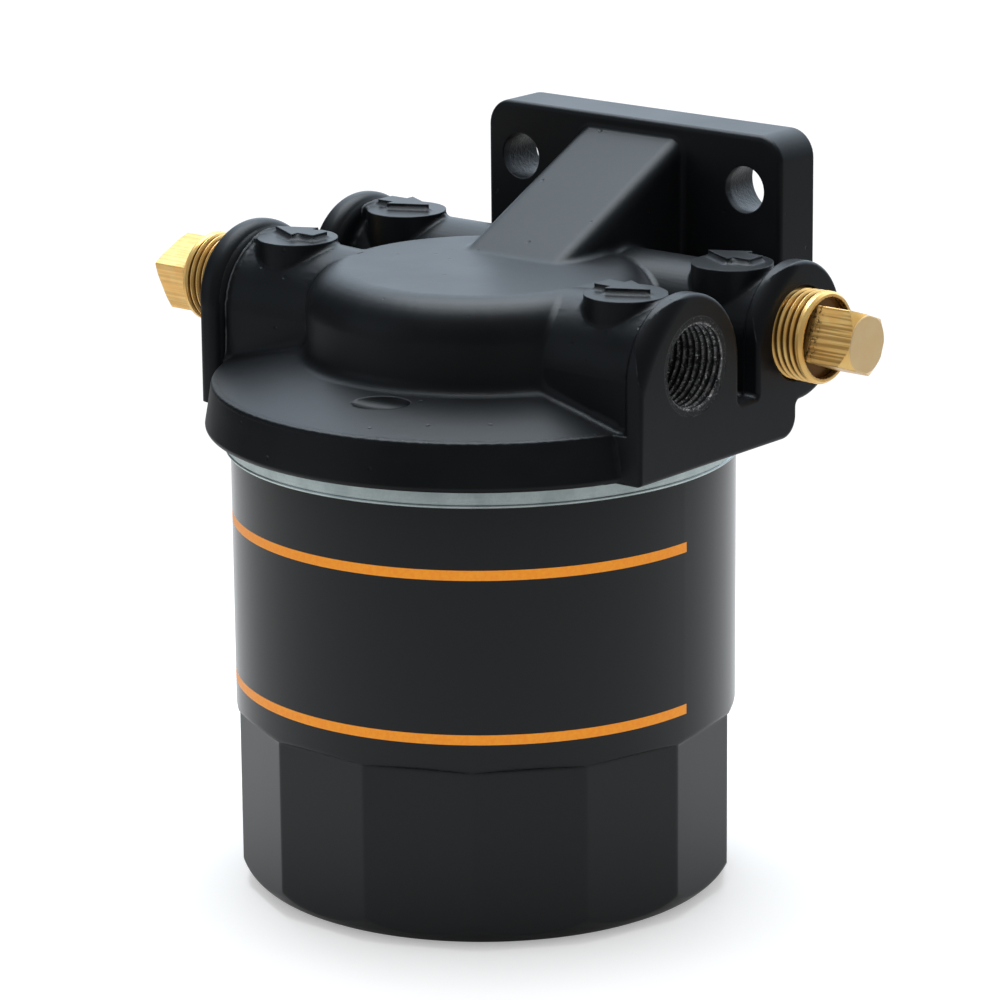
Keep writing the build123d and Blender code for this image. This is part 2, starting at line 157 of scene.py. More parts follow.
# %% Wire
class Wire:
    """One output socket that takes part in sums."""

    def __init__(self, finish, socket):
        self.finish = finish
        self.socket = socket

    def sum_node(self, operation, first, second):
        """A Math node on numbers, or a Vector Math node where a vector takes part."""
        pair = (first, second)
        kinds = [w.socket.type for w in pair if isinstance(w, Wire)]
        kind = "Math"
        if any(kind != "VALUE" for kind in kinds):
            kind = "VectorMath"
            pair = [w if isinstance(w, (Wire, tuple)) else (w, w, w) for w in pair]
        return self.finish.node(kind, {"operation": operation}, dict(enumerate(pair)))

    def __add__(self, other):
        return self.sum_node("ADD", self, other)

    def __radd__(self, other):
        return self.sum_node("ADD", other, self)

    def __sub__(self, other):
        return self.sum_node("SUBTRACT", self, other)

    def __rsub__(self, other):
        return self.sum_node("SUBTRACT", other, self)

    def __mul__(self, other):
        return self.sum_node("MULTIPLY", self, other)

    def __rmul__(self, other):
        return self.sum_node("MULTIPLY", other, self)

    def __gt__(self, other):
        return self.sum_node("GREATER_THAN", self, other)

    def __lt__(self, other):
        return self.sum_node("LESS_THAN", self, other)

    def function(self, operation, *others):
        """A Math node with this wire as its first input."""
        values = dict(enumerate((self, *others)))
        return self.finish.node("Math", {"operation": operation}, values)

    def absolute(self):
        """The number without its sign."""
        return self.function("ABSOLUTE")

    def between(self, low, high):
        """1 between the two numbers, and 0 below and above them."""
        return (self > low) * (self < high)

    def fade(self, start, end):
        """0 at start and 1 at end, with soft shoulders between them."""
        settings = {"interpolation_type": "SMOOTHSTEP"}
        inputs = {"Value": self, "From Min": start, "From Max": end}
        return self.finish.node("MapRange", settings, inputs)

    def spread(self):
        """A noise stretched until it reaches 0 and 1."""
        return self.fade(0.3, 0.7)


def hypotenuse(first, second):
    """How far a point is from an axis, by its two distances along the sides."""
    return (first * first + second * second).function("SQRT")


# %% Finish
FACTOR = 0
VECTOR_A, VECTOR_B, VECTOR_RESULT = 4, 5, 1
COLOUR_A, COLOUR_B, COLOUR_RESULT = 6, 7, 2


class Finish:
    """One material made of a Principled shader and the nodes that feed it."""

    def __init__(self, name, **constants):
        self.name = name
        self.material = bpy.data.materials.new(name)
        self.material.use_nodes = True
        self.tree = self.material.node_tree
        self.shader = self.tree.nodes["Principled BSDF"]
        for socket, value in constants.items():
            self.shader.inputs[socket.replace("_", " ")].default_value = value

    def node(self, kind, settings=None, inputs=None, output=0):
        """Adds a node, sets its settings first and its inputs next."""
        made = self.tree.nodes.new("ShaderNode" + kind)
        for name, value in (settings or {}).items():
            setattr(made, name, value)
        for name, value in (inputs or {}).items():
            self.feed(made.inputs[name], value)
        return Wire(self, made.outputs[output])

    def feed(self, socket, value):
        """Links a wire to a socket, or sets a plain value on it."""
        if isinstance(value, Wire):
            self.tree.links.new(value.socket, socket)
        else:
            socket.default_value = value

    def surface(self, **wires):
        """Links wires to the shader's own sockets."""
        for socket, wire in wires.items():
            self.feed(self.shader.inputs[socket.replace("_", " ")], wire)
        print(self.name, "has", len(self.tree.nodes), "nodes")

    def place(self, centre=(0, 0, 0), turn=(0, 0, 0)):
        """Object coordinates, moved so that centre is at zero, then turned."""
        moved = self.node("TexCoord", output="Object") - centre
        return self.node("Mapping", None, {"Vector": moved, "Rotation": turn})

    def axes(self, vector):
        """The x, y and z of a vector as three wires."""
        split = self.tree.nodes.new("ShaderNodeSeparateXYZ")
        self.tree.links.new(vector.socket, split.inputs[0])
        return [Wire(self, output) for output in split.outputs]

    def dot(self, first, second):
        """1 where two directions agree, 0 where they cross and -1 where they oppose."""
        settings = {"operation": "DOT_PRODUCT"}
        return self.node("VectorMath", settings, {0: first, 1: second}, output="Value")

    def noise(self, vector, scale, detail=2.0, roughness=0.5):
        """Soft random lumps about 0.5."""
        inputs = {"Vector": vector, "Scale": scale, "Detail": detail, "Roughness": roughness}
        return self.node("TexNoise", None, inputs)

    def specks(self, vector, scale, size):
        """1 in small round spots about one per cell, and 0 between them."""
        distance = self.node("TexVoronoi", None, {"Vector": vector, "Scale": scale})
        return 1 - distance.fade(0.4 * size, size)

    def mix(self, mask, under, over):
        """Colour under where the mask is 0, and over where it is 1."""
        inputs = {FACTOR: mask, COLOUR_A: under, COLOUR_B: over}
        return self.node("Mix", {"data_type": "RGBA"}, inputs, COLOUR_RESULT)

    def mix_normal(self, mask, first, second):
        """The first normal where the mask is 0, and the second where it is 1."""
        inputs = {FACTOR: mask, VECTOR_A: first, VECTOR_B: second}
        return self.node("Mix", {"data_type": "VECTOR"}, inputs, VECTOR_RESULT)

    def bump(self, height, depth, normal=None):
        """The normal tilted by a height that is depth metres where it is 1."""
        inputs = {"Height": height, "Distance": depth, "Strength": 1.0}
        if normal is not None:
            inputs["Normal"] = normal
        return self.node("Bump", None, inputs)

    def rounded(self, radius):
        """The normal as if edges were rounded by the radius."""
        return self.node("Bevel", {"samples": 6}, {"Radius": radius})

    def edges(self, rounded_normal):
        """1 on sharp edges and 0 on flat and gently curved surface."""
        same = self.dot(rounded_normal, self.node("NewGeometry", output="Normal"))
        return 1 - same.fade(0.86, 0.99)


# %% Give a finish to a piece
def paint_piece(piece, finish):
    """Gives the whole piece one material."""
    piece.data.materials.clear()
    piece.data.materials.append(finish.material)


def paint_node(node, finish):
    """Puts a material in every slot of a CAD node's object."""
    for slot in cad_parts[node].material_slots:
        slot.material = finish.material


# %% [markdown]
# ## Head casting
# The head is sand cast, so its inner corners are soft where the body, bosses, rib
# and plate run into one another, while machined faces keep their edges. The CAD
# solid has all of its faces but sharp inner corners. Here a welded copy of it is
# remeshed into small even faces and smoothed only near those corners, which fills
# them. Sunk by a hair and joined to the sharp copy again, only the filled corners
# stand out of it, and all the other faces and edges stay as the CAD has them.

# %% Weld a copy of the head
casting = bpy.data.objects.new("head_casting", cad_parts["filter_head"].data.copy())
bpy.context.scene.collection.objects.link(casting)
edit(casting, weld, lambda: bpy.ops.mesh.customdata_custom_splitnormals_clear())
report("welded head", casting)

# %% How round each inner corner is, in millimetres
MACHINED_BELOW_Z = 97
FLANGE_BELOW_Z = 104
HUB_CENTRE_Y = -4.5
HUB_RADIUS = 15
PAD_BACK_X = 47.6
PAD_MARGIN = 1.2
DISC_X = 39.6
DISC_Y = (-7.1, 25.1)
DISC_REACH = 8.5
DISC_LOW_Z = 110
PLATE_FRONT_Y = 45.5
PLATE_MARGIN = 2
PAD_CORNER = 0.9
DISC_CORNER = 0.8
PLATE_CORNER = 1.1
BODY_CORNER = 2.0
FLANGE_CORNER = 2.4


def corner_radius(spot):
    """Radius of the cast corner at a place, or 0 where a tool has cut it sharp."""
    x, y, z = abs(spot.x), spot.y, spot.z
    in_hub = math.hypot(x, y - HUB_CENTRE_Y) < HUB_RADIUS and z < FLANGE_BELOW_Z
    if z < MACHINED_BELOW_Z or in_hub:
        return 0
    if x > PAD_BACK_X - PAD_MARGIN:
        return PAD_CORNER if spot.x > 0 else 0
    from_disc = min(math.hypot(x - DISC_X, y - disc_y) for disc_y in DISC_Y)
    if from_disc < DISC_REACH and z > DISC_LOW_Z:
        return DISC_CORNER
    if y > PLATE_FRONT_Y - PLATE_MARGIN:
        return PLATE_CORNER
    return FLANGE_CORNER if z < FLANGE_BELOW_Z else BODY_CORNER


# %% Find the inner corners
CREASE_ANGLE = math.radians(22)
SAMPLE_STEP = 0.4 * MM


def crease_points(piece):
    """Points along the casting's inner corners, each with its radius."""
    points = []
    shape = bmesh.new()
    shape.from_mesh(piece.data)
    for edge in shape.edges:
        if edge.calc_face_angle_signed(0) > -CREASE_ANGLE:
            continue
        start, end = (vertex.co for vertex in edge.verts)
        count = max(1, int((end - start).length / SAMPLE_STEP))
        for step in range(count + 1):
            spot = start.lerp(end, step / count)
            radius = corner_radius(spot / MM)
            if radius:
                points.append((spot, radius))
    shape.free()
    return points


creases = crease_points(casting)
tree = kdtree.KDTree(len(creases))
for index, (crease, _) in enumerate(creases):
    tree.insert(crease, index)
tree.balance()
print("inner corner points:", len(creases))

# %% Fill the corners on a remeshed copy
VOXEL = 0.55 * MM
SMOOTH_STEPS = 22
SUNK = 0.035 * MM
REACH_SHARE = 1.5
REACH_EXTRA = 0.8

soft = casting.copy()
soft.data = casting.data.copy()
bpy.context.scene.collection.objects.link(soft)
modify(soft, "REMESH", mode="VOXEL", voxel_size=VOXEL)
near_corners = soft.vertex_groups.new(name="near_corners")
for vertex in soft.data.vertices:
    _, index, gap = tree.find(vertex.co)
    corner = creases[index][1]
    reach = (REACH_SHARE * corner + REACH_EXTRA) * MM
    if gap < reach:
        weight = (corner / FLANGE_CORNER) ** 2
        fall = min(1.0, 2.0 * (1 - gap / reach))
        near_corners.add([vertex.index], weight * fall, "REPLACE")
modify(soft, "SMOOTH", factor=0.5, iterations=SMOOTH_STEPS, vertex_group="near_corners")
modify(soft, "DISPLACE", strength=-SUNK, mid_level=0.0)
report("soft copy", soft)

join_solids(casting, soft, "UNION")
report("casting with soft corners", casting)

# %% [markdown]
# Three kinds of cut finish the casting. The flange has a small scoop in it, which an
# egg shaped tool cuts, tipped so that it is deeper at its right. The bolt holes were
# cored from the back, so each one widens towards the wall. The crowns of the port
# pads are dressed by hand into soft beads, which a ring with a hollow round inside it
# cuts. Each tool is an outline spun round an axis, turned and laid in place.

# %% Turned tools
TOOL_STEPS = 96


def outline_mesh(points, closed=False):
    """An object whose mesh is a line through (radius, height) points."""
    bpy.ops.mesh.primitive_plane_add(size=1)
    line = bpy.context.active_object
    line.data.clear_geometry()
    corners = [(radius, 0, height) for radius, height in points]
    last = len(corners) - 1
    sides = [(i, i + 1) for i in range(last)] + ([(last, 0)] if closed else [])
    line.data.from_pydata(corners, sides, [])
    return line


def spin_round(steps):
    """Spins the outline once round the Z axis."""
    bpy.ops.mesh.spin(steps=steps, angle=math.tau, center=(0, 0, 0), axis=(0, 0, 1))


def turned_blank(points, steps=TOOL_STEPS, ring=False):
    """A closed solid spun about Z from (radius, height) points of its outline.

    The outline of a ring closes on itself, and any other starts and ends on the axis.
    """
    blank = outline_mesh(points, ring)
    edit(blank, lambda: spin_round(steps), weld, face_outwards)
    return blank


def cut_with(points, place, axis):
    """Cuts a turned tool, laid with its +Z along the axis, out of the casting."""
    tool = turned_blank(points)
    tool.rotation_euler = Vector(axis).to_track_quat("Z", "Y").to_euler()
    tool.location = Vector(place) * MM
    freeze(tool)
    join_solids(casting, tool, "DIFFERENCE")


# %% Scoop in the flange
SCOOP_CENTRE = (5.3, -38.8, 102.7)
SCOOP_AXIS = (0.91, 0.41, -0.15)
SCOOP_LENGTH = 8.0 * MM
SCOOP_RADIUS = 3.1 * MM
half_turn = [math.radians(angle) for angle in range(-90, 91, 6)]
egg = [(SCOOP_RADIUS * max(0, math.cos(a)), SCOOP_LENGTH * math.sin(a)) for a in half_turn]
egg[0] = (0, -SCOOP_LENGTH)
egg[-1] = (0, SCOOP_LENGTH)
cut_with(egg, SCOOP_CENTRE, SCOOP_AXIS)
report("casting with its scoop", casting)

# %% Draft in the bolt holes
HOLE_X = 27.3
HOLE_Z = 129.0
PLATE_BACK_Y = 56.2
BACK_RADII = {-HOLE_X: 4.75, HOLE_X: 6.1}
CONE_DEPTH = 9.2 * MM
CONE_TIP_RADIUS = 4.5 * MM
CONE_PAST_BACK = 0.2 * MM
for middle_x, back_radius in BACK_RADII.items():
    cone_outline = [
        (0, -CONE_DEPTH),
        (CONE_TIP_RADIUS, -CONE_DEPTH),
        (back_radius * MM, CONE_PAST_BACK),
        (0, CONE_PAST_BACK),
    ]
    cut_with(cone_outline, (middle_x, PLATE_BACK_Y, HOLE_Z), (0, 1, 0))
report("casting with drafted holes", casting)

# %% Rings that round the pad crowns, in millimetres
PAD_FACE = 53.1
QUARTER = [math.radians(angle) for angle in range(0, 91, 9)]
RING_STEPS = 160
RING_WIDTH = 1
PAST_FACE = 0.5
PAST_BACK = 0.03


def crown_blank(outline):
    """A ring turned from an outline in millimetres, fine enough to be seen."""
    points = [(radius * MM, height * MM) for radius, height in outline]
    return turned_blank(points, RING_STEPS, ring=True)


def crown_ring(side, y, z, radius, round_over, inward=0.0):
    """A ring with a hollow round, for the rim of a pad at its face or inward of it."""
    outline = [
        (radius - round_over * (1 - math.sin(a)), -round_over * (1 - math.cos(a))) for a in QUARTER
    ]
    spare = PAST_BACK if inward else PAST_FACE
    outer = radius + RING_WIDTH
    outline += [(outer, -round_over), (outer, spare), (radius - round_over, spare)]
    ring = crown_blank(outline)
    ring.rotation_euler = (0, math.radians(-90 * side if inward else 90 * side), 0)
    ring.location = Vector((side * (PAD_FACE - inward), y, z)) * MM
    freeze(ring)
    return ring


# %% Saw and lengthen a ring
def trim(ring, y, z, towards):
    """Saws the ring at a place and keeps its part on the side that towards points to."""
    edit(ring, lambda: saw((0, y * MM, z * MM), (0, *towards), clear_inner=True))


def draw_down(ring, y, towards, length):
    """Lengthens the sawn ends of a ring on one side of y straight down."""
    only(ring)
    bpy.ops.object.mode_set(mode="EDIT")
    bpy.ops.mesh.select_mode(type="FACE")
    bpy.ops.mesh.select_all(action="DESELECT")
    bpy.ops.object.mode_set(mode="OBJECT")
    for face in ring.data.polygons:
        face.select = face.normal.z < -0.999 and (face.center.y - y * MM) * towards > 0
    print("ends drawn down:", sum(face.select for face in ring.data.polygons))
    bpy.ops.object.mode_set(mode="EDIT")
    bpy.ops.mesh.extrude_region_move(TRANSFORM_OT_translate={"value": (0, 0, -length * MM)})
    bpy.ops.object.mode_set(mode="OBJECT")


def cut_ring(ring):
    """Cuts the finished ring out of the casting."""
    edit(ring, face_outwards)
    join_solids(casting, ring, "DIFFERENCE")


# %% [markdown]
# The right pads are rounded most at the front of their crowns, and the round dies
# away both ways. A ring that is larger than the crown and touches it at one place
# does that by itself. The left pads are beads towards the body, so there the ring
# follows the crown, and its ends are drawn down along the legs. Their outer edges are
# fat too, so a second ring with round edges is joined on, turned a little so that it
# stands out at the front and dies into the crown behind.

# %% Right crowns
LEAN = 20
LEAN_ANGLE = math.radians(40)
RIGHT_ROUND = 3.75
ROUNDED_SPAN = 6
SLOT_MIDDLE_Y = 12.2
FRONT_CROWN = (-5.45, 106.8, 14.65)
RIGHT_REAR_CROWN = (28.2, 108.4, 13.1)
for crown_y, crown_z, crown_radius in (FRONT_CROWN, RIGHT_REAR_CROWN):
    leaning_y = crown_y + LEAN * math.cos(LEAN_ANGLE)
    leaning_z = crown_z - LEAN * math.sin(LEAN_ANGLE)
    leaning = crown_ring(1, leaning_y, leaning_z, crown_radius + LEAN, RIGHT_ROUND)
    trim(leaning, crown_y + ROUNDED_SPAN, crown_z, (-1, 0))
    trim(leaning, crown_y, crown_z - ROUNDED_SPAN, (0, 1))
    if crown_y > SLOT_MIDDLE_Y:
        trim(leaning, SLOT_MIDDLE_Y, crown_z, (1, 0))
    cut_ring(leaning)
report("right crowns rounded", casting)

# %% Round the backs of the left crowns
LEFT_THICKNESS = 5.4
LEFT_ROUND = 2.4
SLOT_FLOOR_Z = 98.3
PAD_FOOT_Z = 88.6
PAST_FOOT = 1
LEFT_REAR_CROWN = (25.4, 107.9, 14.0)
NOTCH_Y = 26.6
for (crown_y, crown_z, crown_radius), foot_z in (
    (FRONT_CROWN, PAD_FOOT_Z - PAST_FOOT),
    (LEFT_REAR_CROWN, SLOT_FLOOR_Z),
):
    back_ring = crown_ring(-1, crown_y, crown_z, crown_radius, LEFT_ROUND, LEFT_THICKNESS)
    trim(back_ring, crown_y, crown_z, (0, 1))
    draw_down(back_ring, crown_y, -1, crown_z - foot_z)
    if crown_y < 0:
        draw_down(back_ring, crown_y, 1, crown_z - SLOT_FLOOR_Z)
    cut_ring(back_ring)

crown_y, crown_z, crown_radius = LEFT_REAR_CROWN
lower_ring = crown_ring(-1, crown_y, crown_z, crown_radius, LEFT_ROUND, LEFT_THICKNESS)
trim(lower_ring, crown_y, crown_z, (0, -1))
trim(lower_ring, NOTCH_Y, crown_z, (1, 0))
cut_ring(lower_ring)
report("left crowns rounded", casting)

# %% Fat beads on the fronts of the left crowns
BEAD_ANGLE = math.radians(138)
BEAD_SHIFT = 0.85
BEAD_WITHIN = 0.05
BEAD_BORE = 0.8
BEAD_COVER = 0.5
BEAD_DIP = 1.0
ABOVE_FOOT = 0.05
BELOW_SLOT = 0.3
REAR_BEAD_END = 8.4
FRONT_PROUD = 1.1
REAR_PROUD = 0.6


def crown_bead(y, z, radius, foot_z, proud):
    """A ring with round edges, proud of the crown's front and sunk in its rear."""
    front, rise = math.cos(BEAD_ANGLE) * proud, math.sin(BEAD_ANGLE) * proud
    edge = radius - BEAD_WITHIN - LEFT_ROUND
    waist = LEFT_ROUND - LEFT_THICKNESS
    outline = [
        (edge + LEFT_ROUND * math.sin(a), -LEFT_ROUND + LEFT_ROUND * math.cos(a)) for a in QUARTER
    ]
    outline += [
        (edge + LEFT_ROUND * math.cos(a), waist - LEFT_ROUND * math.sin(a)) for a in QUARTER
    ]
    bore = edge - BEAD_BORE
    outline += [(bore, BEAD_COVER - LEFT_THICKNESS), (bore, -BEAD_DIP)]
    bead = crown_blank(outline)
    bead.rotation_euler = Vector((-radius, -front, -rise)).to_track_quat("Z", "Y").to_euler()
    bead.location = Vector((-PAD_FACE, y + BEAD_SHIFT * front, z + BEAD_SHIFT * rise)) * MM
    freeze(bead)
    trim(bead, y, z, (0, 1))
    draw_down(bead, y, -1, z - foot_z)
    if y > 0:
        trim(bead, y + REAR_BEAD_END, z, (-1, 0))
    edit(bead, face_outwards)
    return bead


front_bead = crown_bead(*FRONT_CROWN, PAD_FOOT_Z + ABOVE_FOOT, FRONT_PROUD)
join_solids(casting, front_bead, "UNION")
rear_bead = crown_bead(*LEFT_REAR_CROWN, SLOT_FLOOR_Z - BELOW_SLOT, REAR_PROUD)
join_solids(casting, rear_bead, "UNION")
smooth_shading(casting, 30)
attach(casting, "head")
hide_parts("filter_head")
report("finished casting", casting)

# %% [markdown]
# ## Black paint on the casting
# Satin black paint over cast metal has a faint orange peel, small casting pits and
# grains of dust under the paint. Its edges are painted lighter, partly for paint worn
# thin and partly as a painted highlight. The bevel node rounds the edges for the light
# alone, and comparing its normal with the true one gives the mask of those edges. The
# rib's long edges are softer and get no lighter paint, and the bolt holes and the
# flange's rim are lumpy. The walls of the bolt holes are painted darker, as painted
# shade.

# %% Where the casting's paint differs
cast_paint = Finish("satin_black_casting_paint", IOR=1.37)
cast_spot = cast_paint.place()
cast_x, cast_y, cast_z = cast_paint.axes(cast_spot)
RIB_HALF_WIDTH = 14 * MM
RIB_Y = (4 * MM, 44.5 * MM)
RIB_LOW_Z = 112 * MM
HOLE_WALL_RADIUS = 6.3 * MM
HOLE_WALL_Y = (47.2 * MM, 55.9 * MM)
RIM_RADIUS = 49.8 * MM
RIM_HALF_WIDTH = 45 * MM
RIM_Z = (96.8 * MM, 98.4 * MM)
on_rib = (cast_x.absolute() < RIB_HALF_WIDTH) * cast_y.between(*RIB_Y) * (cast_z > RIB_LOW_Z)
from_hole = hypotenuse(cast_x.absolute() - HOLE_X * MM, cast_z - HOLE_Z * MM)
in_hole = (from_hole < HOLE_WALL_RADIUS) * cast_y.between(*HOLE_WALL_Y)
on_rim = (hypotenuse(cast_x, cast_y) > RIM_RADIUS) * (cast_x.absolute() < RIM_HALF_WIDTH)
on_rim = on_rim * cast_z.between(*RIM_Z)

# %% Satin casting paint
SATIN_DARK = (0.0025, 0.003, 0.0038, 1)
SATIN_LIGHT = (0.0045, 0.0053, 0.0064, 1)
EDGE_WEAR_AND_SHEEN_GREY = (0.085, 0.095, 0.105, 1)
HOLE_PAINTED_SHADE = (0.0015, 0.0015, 0.0018, 1)
CAST_EDGE = 0.4 * MM
RIB_EDGE = 1.6 * MM
cast_clouds = cast_paint.noise(cast_spot, 55, 3)
grain = cast_paint.noise(cast_spot, 2200, 2)
cast_peel = cast_paint.noise(cast_spot, 600, 2)
pits = cast_paint.specks(cast_spot, 170, 0.085)
rough_cast = cast_paint.noise(cast_spot, 240, 4)
lumps = cast_paint.noise(cast_spot, 1100, 4, 0.7)
soft_edge = cast_paint.mix_normal(
    on_rib, cast_paint.rounded(CAST_EDGE), cast_paint.rounded(RIB_EDGE)
)
patches = cast_paint.noise(cast_spot, 300, 2).fade(0.35, 0.62)
# Edges painted lighter: partly paint worn thin, partly a painted highlight on the edges.
edge_wear_and_sheen = cast_paint.edges(soft_edge) * (1 - on_rib) * patches
satin = cast_paint.mix(cast_clouds.spread(), SATIN_DARK, SATIN_LIGHT)
satin = cast_paint.mix(edge_wear_and_sheen * 0.8, satin, EDGE_WEAR_AND_SHEEN_GREY)
# Bolt hole walls painted darker: painted shade inside the holes.
satin = cast_paint.mix(in_hole, satin, HOLE_PAINTED_SHADE)
cast_height = cast_peel * 0.35 + grain * 0.25 + rough_cast * 0.4 - pits * 2.4
cast_height = cast_height + lumps * (in_hole * 5 + on_rim * 4)
cast_paint.surface(
    Base_Color=satin,
    Roughness=0.34 + cast_clouds * 0.12 + edge_wear_and_sheen * 0.08 - in_hole * 0.05,
    Normal=cast_paint.bump(cast_height, 0.03 * MM, soft_edge),
)
paint_piece(casting, cast_paint)

# %% [markdown]
# ## Port threads
# Each port is tapped with a fine pipe thread. A thread is a V shaped profile that
# climbs by one pitch for each turn, which is what the Screw modifier does to a
# short zigzag. Cutting that rod square at both ends leaves a closed solid, which
# is a plug's thread, and cut out of a sleeve it leaves a port's thread. The sleeve
# flares over the port's chamfer, because the tap ran right through the face.

# %% Threaded rod
PITCH = 1.41 * MM
HALF_FLAT = 0.06
THREAD_STEPS = 72


def threaded_rod(crest, root, length):
    """A closed rod along +Z from the origin with a sharp thread of the pitch."""
    profile = [
        (root, 0),
        (root, HALF_FLAT),
        (crest, 0.5 - HALF_FLAT),
        (crest, 0.5 + HALF_FLAT),
        (root, 1 - HALF_FLAT),
        (root, 1),
    ]
    rod = outline_mesh([(radius, (share - 1) * PITCH) for radius, share in profile])
    modify(
        rod,
        "SCREW",
        angle=math.tau,
        screw_offset=PITCH,
        steps=THREAD_STEPS,
        render_steps=THREAD_STEPS,
        iterations=math.ceil(length / PITCH) + 2,
        use_merge_vertices=True,
        merge_threshold=WELD / 2,
    )
    edit(rod, weld, lambda: saw((0, 0, 0), (0, 0, 1), clear_inner=True))
    edit(rod, weld, lambda: saw((0, 0, length), (0, 0, 1), clear_outer=True))
    edit(rod, face_outwards)
    return rod


# %% Sleeves of thread in the two open ports
PORT_RADIUS = 8.6 * MM
PORT_FACE = PAD_FACE * MM
PORT_MOUTH = 0.7 * MM
PORT_Z = 107.9 * MM
FRONT_Y = -4.0 * MM
REAR_Y = 28.4 * MM
SLEEVE_LENGTH = 12.6 * MM
SLEEVE_GAP = 0.01 * MM
SLEEVE_LIP = 0.05 * MM
THREAD_CREST = 7.82 * MM
THREAD_ROOT_WALL = 0.12 * MM
TAP_OVERRUN = 2 * PITCH


def port_sleeve(name, side, y, z):
    """The thread of one open port, on the right for side 1 and the left for -1."""
    bore = PORT_RADIUS - SLEEVE_GAP
    flare = PORT_MOUTH - SLEEVE_LIP
    sleeve = turned_blank([
        (0, 0),
        (bore, 0),
        (bore, SLEEVE_LENGTH),
        (bore + flare, SLEEVE_LENGTH + flare),
        (0, SLEEVE_LENGTH + flare),
    ])
    sleeve.name = name
    tap_length = SLEEVE_LENGTH + 2 * TAP_OVERRUN
    tap = threaded_rod(PORT_RADIUS - THREAD_ROOT_WALL, THREAD_CREST, tap_length)
    tap.location.z = -TAP_OVERRUN
    freeze(tap)
    join_solids(sleeve, tap, "DIFFERENCE")
    sleeve.rotation_euler = (0, math.radians(90 * side), 0)
    sleeve.location = (side * (PORT_FACE - PORT_MOUTH - SLEEVE_LENGTH), y, z)
    freeze(sleeve)
    smooth_shading(sleeve, 24)
    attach(sleeve, "head")
    report(name, sleeve)
    return sleeve


outlet_thread = port_sleeve("outlet_port_thread", 1, FRONT_Y, PORT_Z)
inlet_thread = port_sleeve("inlet_port_thread", -1, REAR_Y, PORT_Z)

# %% Paint worn on the thread crests
ROOT_BLACK = (0.006, 0.0065, 0.007, 1)
CREST_GREY = (0.15, 0.15, 0.155, 1)
DUST_GREY = (0.5, 0.5, 0.5, 1)
WORN_RADII = (7.9 * MM, 8.3 * MM)


def thread_finish(name, y, z):
    """Paint inside a port, worn grey along the crests and dark in the roots."""
    finish = Finish(name, IOR=1.45)
    spot = finish.place((0, y, z))
    _, across, up = finish.axes(spot)
    crest = 1 - hypotenuse(across, up).fade(*WORN_RADII)
    worn_crest = crest * finish.noise(spot, 800, 4, 0.7).fade(0.36, 0.6)
    dust = finish.noise(spot, 2600, 3).fade(0.56, 0.68)
    base = finish.mix(worn_crest, ROOT_BLACK, CREST_GREY)
    base = finish.mix(dust * (0.15 + crest * 0.85), base, DUST_GREY)
    finish.surface(
        Base_Color=base,
        Roughness=0.55 - worn_crest * 0.12,
        Normal=finish.bump(finish.noise(spot, 1300, 5, 0.7), 0.16 * MM),
    )
    return finish


paint_piece(outlet_thread, thread_finish("worn_outlet_thread", FRONT_Y, PORT_Z))
paint_piece(inlet_thread, thread_finish("worn_inlet_thread", REAR_Y, PORT_Z))

# %% [markdown]
# ## Brass plugs
# A plug is turned from bar: a tapered pipe thread, a plain land at its large end, a
# hollow round the shank, and a square head, whose flats keep fine lines along the
# axis and whose end is turned to a shallow cone. The thread is the rod again,
# tapered by the Simple Deform modifier, and the head is a cube whose corners are cut
# by a turned cone. Both stand on the shoulder, which is at THREAD_LENGTH.

# %% Square head of a plug
SMALL_RADIUS = 8.27 * MM
TAPER = 1 / 32
THREAD_LENGTH = 15.5 * MM
HEAD_WIDTH = 10.7 * MM
HEAD_LENGTH = 8.9 * MM
HEAD_ROOT = 2 * MM
CONE_ROOT = 3 * MM
CORNER_ROUND = 0.3 * MM
CORNER_CLEARANCE = 0.2 * MM
END_EDGE = 0.05 * MM


def square_head(turn, end_drop):
    """The plug's square head, with its corners turned off by end_drop at the end."""
    middle = THREAD_LENGTH + HEAD_LENGTH / 2 - HEAD_ROOT / 2
    bpy.ops.mesh.primitive_cube_add(size=1, location=(0, 0, middle))
    head = bpy.context.active_object
    head.scale = (HEAD_WIDTH, HEAD_WIDTH, HEAD_LENGTH + HEAD_ROOT)
    head.rotation_euler = (0, 0, math.radians(turn))
    freeze(head)
    for edge in head.data.edges:
        start, end = (head.data.vertices[i].co for i in edge.vertices)
        edge.select = abs(start.z - end.z) > HEAD_LENGTH / 2
    only(head)
    bpy.ops.object.mode_set(mode="EDIT")
    bpy.ops.mesh.select_mode(type="EDGE")
    bpy.ops.mesh.bevel(offset=CORNER_ROUND, segments=4)
    bpy.ops.object.mode_set(mode="OBJECT")
    corner = HEAD_WIDTH / math.sqrt(2) + CORNER_CLEARANCE
    top = THREAD_LENGTH + HEAD_LENGTH
    cone = turned_blank([
        (0, THREAD_LENGTH - CONE_ROOT),
        (corner, THREAD_LENGTH - CONE_ROOT),
        (corner, top - end_drop - END_EDGE),
        (HEAD_WIDTH / 2 - END_EDGE, top),
        (0, top),
    ])
    join_solids(head, cone, "INTERSECT")
    return head


# %% Threaded shank of a plug
THREAD_DEPTH = 0.72 * MM
LARGE_RADIUS = SMALL_RADIUS + TAPER * THREAD_LENGTH
POINT_CHAMFER = 0.8 * MM
LAND = 0.9 * MM
LAND_FOOT = 0.35 * MM
LAND_STEP = 0.08 * MM
SHOULDER_CHAMFER = 0.55 * MM
RIM_WIDTH = 1.0 * MM
HOLLOW_DEPTH = 1.5 * MM
HOLLOW_DRAFT = 0.2 * MM
PAST_END = 1 * MM
PAST_SIDE = 0.5 * MM


